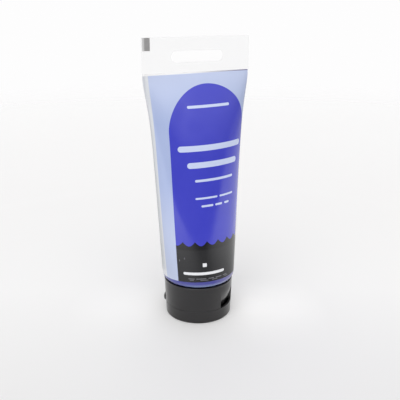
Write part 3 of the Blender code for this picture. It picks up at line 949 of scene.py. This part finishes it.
def cap_columns():
    """Angles round the cap, closer together at the two sides of the notch."""
    even = even_angles(176)
    extra = []
    for side in (NOTCH_ANGLE - NOTCH_HALF_ANGLE, NOTCH_ANGLE + NOTCH_HALF_ANGLE):
        extra += [side + math.radians(d) for d in np.linspace(-1.6, 1.6, 17)]
    angles = np.concatenate([even, np.mod(extra, TURN)])
    return np.unique(np.round(angles, 5))


def from_notch(angles):
    """The angle from the middle of the notch, to either side."""
    return np.abs(np.mod(angles - NOTCH_ANGLE + math.pi, TURN) - math.pi)


def notch_share(angles):
    """1 inside the notch's sides, 0 outside, turning over a fraction of a millimetre."""
    return smooth_step((NOTCH_HALF_ANGLE - from_notch(angles)) / NOTCH_SIDE_TURN + 0.5)


def notch_floor(angles, z):
    """The radius of the notch's sloping floor, a little deeper in the middle."""
    off = np.clip(from_notch(angles) / NOTCH_HALF_ANGLE, 0.0, 1.0)
    deep = NOTCH_FLOOR_RADIUS - NOTCH_DISH * (1.0 - off ** 2)
    run = (cap_radius(NOTCH_TOP_Z) - deep) / (NOTCH_TOP_Z - SPLIT_Z)
    return deep + (z - SPLIT_Z) * run


def skirt_radius(angles, z):
    """The base's outside, with the notch pressed into it and its top edge eased."""
    full = cap_radius(z)
    gap = (full - notch_floor(angles, z)) / NOTCH_EASE
    depth = np.log1p(np.exp(np.clip(gap, -30.0, 30.0))) * NOTCH_EASE
    depth = depth * smooth_step((gap + 2.5) / 2.5)
    return full - depth * notch_share(angles)


def make_cap_base(material):
    """Skirt, deck, collar, spout and threaded socket, as one moulding."""
    angles = cap_columns()
    low = SPLIT_Z + HAIR
    in_notch = notch_share(angles)
    off_notch = 1.0 - in_notch
    rows = []

    def add(radius, z):
        rows.append((np.broadcast_to(radius, angles.shape), np.broadcast_to(z, angles.shape)))

    def add_outline(points, radius, steps=4):
        for r, z in softened(points, radius, steps):
            add(r, z)

    # Outside of the skirt, top to bottom
    rim_center = (CAP_RIM_RADIUS - RIM_ROUNDING, CAP_HEIGHT - RIM_ROUNDING)
    for radius, z in arc(*rim_center, RIM_ROUNDING, 90.0, 0.0, 5):
        add(radius, z)
    heights = np.concatenate([
        np.linspace(20.5, 16.2, 8), np.linspace(15.9, 14.4, 14), np.linspace(14.0, 7.6, 14),
    ]) * MM
    for z in heights:
        add(skirt_radius(angles, z), z)
    for inset, rise in ((0.0, 0.25), (0.0, 0.10), (0.03, 0.03), (0.10, 0.0)):
        add(skirt_radius(angles, low) - inset * MM, low + rise * MM)

    # Inside of the skirt below the deck; the collar fades out across the notch
    def wall_inside(z):
        return skirt_radius(angles, z) - CAP_WALL

    collar_out = np.minimum(COLLAR_RADIUS, wall_inside(DECK_LOW_Z) - 0.15 * MM)
    collar_in = collar_out - COLLAR_WALL
    collar_low = DECK_LOW_Z - (DECK_LOW_Z - COLLAR_LOW_Z) * off_notch
    under_deck = DECK_LOW_Z - 0.1 * MM
    add(wall_inside(low), low)
    add(wall_inside(low), low + 0.1 * MM)
    add(wall_inside(DECK_LOW_Z), under_deck)
    add(wall_inside(DECK_LOW_Z) - 0.05 * MM, DECK_LOW_Z)
    add(collar_out + 0.05 * MM, DECK_LOW_Z)
    root = np.maximum(collar_low + 0.4 * MM, under_deck)
    add(collar_out, root * in_notch + under_deck * off_notch)
    for radius, rise in (
        (collar_out, 0.4), (collar_out - 0.1 * MM, 0.12), (collar_out - 0.3 * MM, 0.0),
        (collar_in + 0.15 * MM, 0.0), (collar_in, 0.15),
    ):
        add(radius, collar_low + rise * MM * off_notch)
    add(collar_in, DECK_LOW_Z - 0.1 * MM * off_notch)
    add(collar_in - 0.1 * MM, DECK_LOW_Z)

    # Spout, bore and funnel
    add_outline([
        (SPOUT_ROOT_RADIUS + 3.0 * MM, DECK_LOW_Z), (SPOUT_ROOT_RADIUS, DECK_LOW_Z),
        (SPOUT_TIP_RADIUS, SPOUT_TIP_Z), (SPOUT_BORE, SPOUT_TIP_Z), (SPOUT_BORE, FUNNEL_Z),
        (FUNNEL_RADIUS, DECK_TOP_Z), (SOCKET_RADIUS, DECK_TOP_Z),
        (SOCKET_RADIUS, DECK_TOP_Z + 1.5 * MM),
    ], 0.25 * MM)

    # Threaded socket
    for z in np.arange(*SOCKET_THREAD_SPAN) * MM:
        height = ridge(angles, z, THREAD_START_Z + PITCH / 2.0)
        add(SOCKET_RADIUS - (SOCKET_RADIUS - CAP_THREAD_RADIUS) * height, z)
    socket_outer = SOCKET_RADIUS + SOCKET_WALL
    add_outline([
        (SOCKET_RADIUS, SOCKET_TOP_Z - 0.2 * MM), (SOCKET_RADIUS, SOCKET_TOP_Z),
        (socket_outer, SOCKET_TOP_Z), (socket_outer, DECK_TOP_Z),
        (socket_outer + 0.8 * MM, DECK_TOP_Z),
    ], 0.2 * MM)

    # Back up the inside of the skirt
    for z in np.concatenate([np.linspace(9.2, 14.0, 10), np.linspace(14.4, 16.2, 8), [20.6]]) * MM:
        add(np.minimum(wall_inside(z), CAP_RIM_RADIUS - CAP_WALL), z)
    add(CAP_RIM_RADIUS - CAP_WALL, CAP_HEIGHT - 0.15 * MM)
    add(CAP_RIM_RADIUS - CAP_WALL + 0.12 * MM, CAP_HEIGHT)

    radius = np.array([r for r, _ in rows])
    z = np.array([h for _, h in rows])
    mesh = grid_mesh("cap_body", turned(radius, z, angles), rows_close=True)
    mesh.set_sharp_from_angle(angle=SHARP_ANGLE)
    piece("cap_body", mesh, material, "cap", "cap_plastic", "cap_base")


def make_lid(material):
    """The flip-top lid with its plug, its foot rounded and a gate mark in the middle."""
    rim = SPLIT_Z - HAIR
    inner = cap_radius(rim) - CAP_WALL
    profile = softened([
        (0.0, PLUG_TIP_Z), (PLUG_RADIUS, PLUG_TIP_Z), (PLUG_RADIUS, SPOUT_TIP_Z - 0.5 * MM),
        (PLUG_ROOT_RADIUS, LID_FLOOR), (CAP_FOOT_RADIUS - CAP_WALL, LID_FLOOR), (inner, rim),
        (cap_radius(rim), rim), (cap_radius(5.0 * MM), 5.0 * MM)],
        [0, 0.5 * MM, 0.2 * MM, 0.5 * MM, 0.5 * MM, 0.12 * MM, 0.12 * MM, 0])
    profile += [(cap_radius(z), z) for z in np.array([4.0, 3.0, 2.0, 1.2]) * MM]
    foot_center = (CAP_FOOT_RADIUS + 0.02 * MM - FOOT_ROUNDING, FOOT_ROUNDING)
    profile += arc(*foot_center, FOOT_ROUNDING, 0.0, -90.0, 8)
    profile += softened([(radius * MM, z * MM) for radius, z in GATE_MARK], 0.08 * MM, 3)
    mesh = grid_mesh("lid", around(profile, 192), poles=True)
    mesh.set_sharp_from_angle(angle=SHARP_ANGLE)
    piece("lid", mesh, material, "lid", "cap_plastic", "cap_lid")


def make_strap(material):
    """The bowed strap between lid and base, with rounded edges and ends."""
    inner_low = cap_radius(STRAP_LOW_Z) + STRAP_GAP
    inner_top = cap_radius(STRAP_TOP_Z) + STRAP_GAP
    height = STRAP_TOP_Z - STRAP_LOW_Z
    bow = []
    for i in range(17):
        t = i / 16
        bulge = math.sin(math.pi * t) ** STRAP_BOW_POWER
        out = STRAP_EDGE_SHARE + (1.0 - STRAP_EDGE_SHARE) * bulge
        z = STRAP_TOP_Z - height * t
        bow.append((cap_radius(z) + STRAP_GAP + STRAP_THICKNESS * out, z))
    outline = [
        (inner_low, STRAP_LOW_Z), (inner_low, STRAP_LOW_Z + 0.4 * MM),
        (inner_top, STRAP_TOP_Z - 0.4 * MM), (inner_top, STRAP_TOP_Z),
    ] + bow
    middle_z = (STRAP_LOW_Z + STRAP_TOP_Z) / 2.0
    steps = 44
    points = []
    for i in range(steps + 1):
        along = -1.0 + 2.0 * i / steps
        direction = outward(HINGE_ANGLE + STRAP_HALF_ANGLE * along)
        end = max(0.0, (abs(along) - STRAP_END_START) / (1.0 - STRAP_END_START))
        keep = math.sqrt(max(0.0, 1.0 - 0.9 * end ** 2))
        ring = []
        for radius, z in outline:
            r = inner_low + (radius - inner_low) * (0.35 + 0.65 * keep)
            h = middle_z + (z - middle_z) * (0.8 + 0.2 * keep)
            ring.append(direction * r + np.array([0.0, 0.0, h]))
        points.append(ring)
    mesh = grid_mesh("hinge_band", np.array(points))
    mesh.set_sharp_from_angle(angle=SHARP_ANGLE)
    piece("hinge_band", mesh, material, "strap", "cap_plastic", "hinge_strap")


# ---- setting

def floor_material():
    """Pale paper that fades into the backdrop with distance from the tube, with painted shade
    towards the camera and in front of the tube.
    """
    surface = Surface("floor_paper", Roughness=0.8, Specular_IOR_Level=0.0)
    where = surface.place()
    cloud = surface.noise(where, 2.5)
    paper = surface.mix(cloud, *PAPER_TONES)
    x, y, _ = surface.parts(where)
    toward_camera = x * TOWARD_CAMERA[0] + y * TOWARD_CAMERA[1]
    rightward = x * RIGHTWARD[0] + y * RIGHTWARD[1]
    aside = rightward.absolute()
    # Painted shadow: the paper darker just in front of the tube, and darker towards the camera
    shade = toward_camera.ramp(*SHADE_AHEAD) * aside.ramp(*SHADE_ASIDE)
    paper = surface.mix(shade * 0.6, paper, PAPER_SHADE)
    near = toward_camera.ramp(*NEAR_SHADE_RAMP)
    surface.drive("Base Color", surface.mix(near, paper, PAPER_SHADE))

    # A faint glow beside the tube, where the photo's contact shadow is light
    surface.shader.inputs["Emission Color"].default_value = (1.0, 0.995, 0.99, 1.0)
    length = surface.node("ShaderNodeVectorMath", Vector=where)
    length.operation = "LENGTH"
    away = Value(surface.tree, length.outputs["Value"])
    side = rightward.ramp(*LIFT_RIGHT) * (1.0 - LIFT_LEFT_SHARE) + LIFT_LEFT_SHARE
    lift = away.ramp(*LIFT_AWAY) * (aside.ramp(*LIFT_ASIDE) * side)
    lift = lift * toward_camera.ramp(*LIFT_FROM) * toward_camera.ramp(*LIFT_TO)
    surface.drive("Emission Strength", lift * CONTACT_LIFT)

    # The floor opens over whatever lies under it, such as the lid when it hangs open
    under = surface.node("ShaderNodeAmbientOcclusion", Distance=OPENING_REACH)
    under.inside = True
    under.samples = OPENING_SAMPLES
    clear = Value(surface.tree, under.outputs["AO"]).ramp(*OPENING_RAMP)
    surface.drive("Alpha", (away.ramp(FLOOR_FADE_START, FLOOR_FADE_END) * -1.0 + 1.0) * clear)
    return surface.material


def flat_ring(name, inner, outer, height):
    """A flat ring round the tube between two radii that vary with the angle."""
    angles = np.linspace(-math.pi, math.pi, 240, endpoint=False)
    bm = bmesh.new()
    lines = []
    for angle in angles:
        direction = outward(angle)
        spots = [direction * radius(angle) + (0.0, 0.0, height) for radius in (inner, outer)]
        lines.append([bm.verts.new(spot) for spot in spots])
    for (a, b), (c, d) in zip(lines, lines[1:] + lines[:1]):
        bm.faces.new((a, b, d, c))
    bmesh.ops.remove_doubles(bm, verts=bm.verts, dist=0.01 * MM)
    obj = in_scene(name, mesh_from(bm, name))
    return obj


def make_floor():
    floor = flat_ring("floor", lambda a: 0.0, lambda a: FLOOR_RADIUS, 0.0)
    floor.data.materials.append(floor_material())


def make_cards():
    """A bright card and a dark one, lying flat, that show only as reflections in the film."""

    def table_edge(angle):
        along = math.cos(angle - TABLE_EDGE_ANGLE)
        return min(TABLE_RADIUS, TABLE_EDGE / along) if along > 0.0 else TABLE_RADIUS

    cards = (
        ("bright_card", lambda a: CARD_START, table_edge, BRIGHT_CARD),
        ("dark_card", table_edge, lambda a: TABLE_RADIUS, DARK_CARD),
    )
    for name, inner, outer, radiance in cards:
        card = flat_ring(name, inner, outer, CARD_HEIGHT)
        glow = Surface(name, Base_Color=(0.0, 0.0, 0.0, 1.0), Emission_Color=(1.0, 1.0, 1.0, 1.0))
        x, y, _ = glow.parts(glow.place())
        aside = (x - y * CARD_SHADE_LEAN).absolute().ramp(*CARD_SHADE_RAMP)
        lit = aside * (1.0 - CARD_SHADE) + CARD_SHADE
        far = hypotenuse(x, y).fade(*CARD_FAR) * y.fade(*CARD_BACK)
        glow.drive("Emission Strength", lit * y.fade(*CARD_BEHIND) * far * radiance)
        card.data.materials.append(glow.material)
        card.visible_camera = card.visible_diffuse = card.visible_shadow = False
        card.visible_transmission = card.visible_volume_scatter = False


def make_light():
    """A soft white room with a bright ceiling and two wide lights on the camera's side."""
    world = bpy.data.worlds.new("studio")
    world.use_nodes = True
    tree = world.node_tree
    direction = tree.nodes.new("ShaderNodeTexCoord").outputs["Generated"]

    def lobe(toward, strength, sharpness):
        """Radiance that is brightest in one direction and falls off smoothly round it."""
        node = tree.nodes.new("ShaderNodeVectorMath")
        node.operation = "DOT_PRODUCT"
        tree.links.new(direction, node.inputs[0])
        node.inputs[1].default_value = Vector(toward).normalized()
        facing = Value(tree, node.outputs["Value"]).at_least(0.0)
        return facing.math("POWER", sharpness) * strength

    ceiling = lobe((0.0, 0.0, 1.0), CEILING_STRENGTH, CEILING_SHARPNESS)
    lights = lobe(LEFT_LIGHT, LEFT_STRENGTH, LIGHT_SHARPNESS)
    lights = lights + lobe(RIGHT_LIGHT, RIGHT_STRENGTH, LIGHT_SHARPNESS)
    path = tree.nodes.new("ShaderNodeLightPath").outputs
    glossy = Value(tree, path["Is Glossy Ray"])
    room = ceiling + ROOM_STRENGTH
    height = lobe((0.0, 0.0, 1.0), 1.0, 1.0)
    floor_level = lobe(FAR_SIDE, -GLOSS_BEHIND, 2.0) + GLOSS_HORIZON
    climb = height.ramp(0.0, GLOSS_HORIZON_TOP)
    seen = climb + floor_level * (climb * -1.0 + 1.0)
    room = room + glossy * (seen * GLOSS_ROOM - room)
    radiance = room + lights
    radiance = radiance + Value(tree, path["Is Camera Ray"]) * (radiance * -1.0 + BACKDROP)
    sky = tree.nodes["Background"]
    tree.links.new(radiance.socket, sky.inputs["Strength"])
    sky.inputs["Color"].default_value = ROOM_COLOR
    bpy.context.scene.world = world


def make_camera():
    data = bpy.data.cameras.new("camera")
    data.sensor_width = 36.0
    data.lens = CAMERA_LENS
    data.shift_x, data.shift_y = CAMERA_SHIFT
    data.clip_start, data.clip_end = 0.01, 50.0
    camera = in_scene("camera", data)
    camera.location = CAMERA_PLACE
    look = Vector(CAMERA_TARGET) - Vector(CAMERA_PLACE)
    camera.rotation_euler = look.to_track_quat("-Z", "Y").to_euler()
    camera.rotation_euler.rotate_axis("Z", CAMERA_ROLL)
    bpy.context.scene.camera = camera
    bpy.context.scene.view_settings.view_transform = "Standard"


def finish_cad_nodes():
    """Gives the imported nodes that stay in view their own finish."""
    paint = grained("wet_paint", PAINT_TONES, 0.15, 300.0)
    foam = grained("seal_foam", FOAM_TONES, 0.6, 4000.0)
    for name, material in (("paint_fill", paint), ("sealing_ring", foam)):
        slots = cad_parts[name].data.materials
        slots.clear()
        slots.append(material)


def build():
    make_camera()
    make_light()
    make_floor()
    make_cards()
    make_sleeve(printed_film())
    make_flag(clear_film(), clear_edge())
    make_eye_mark(eye_mark_ink())
    make_neck(grained("neck_plastic", NECK_TONES, 0.3, 2500.0))
    black = cap_plastic()
    make_cap_base(black)
    make_lid(black)
    make_strap(black)
    finish_cad_nodes()


build()
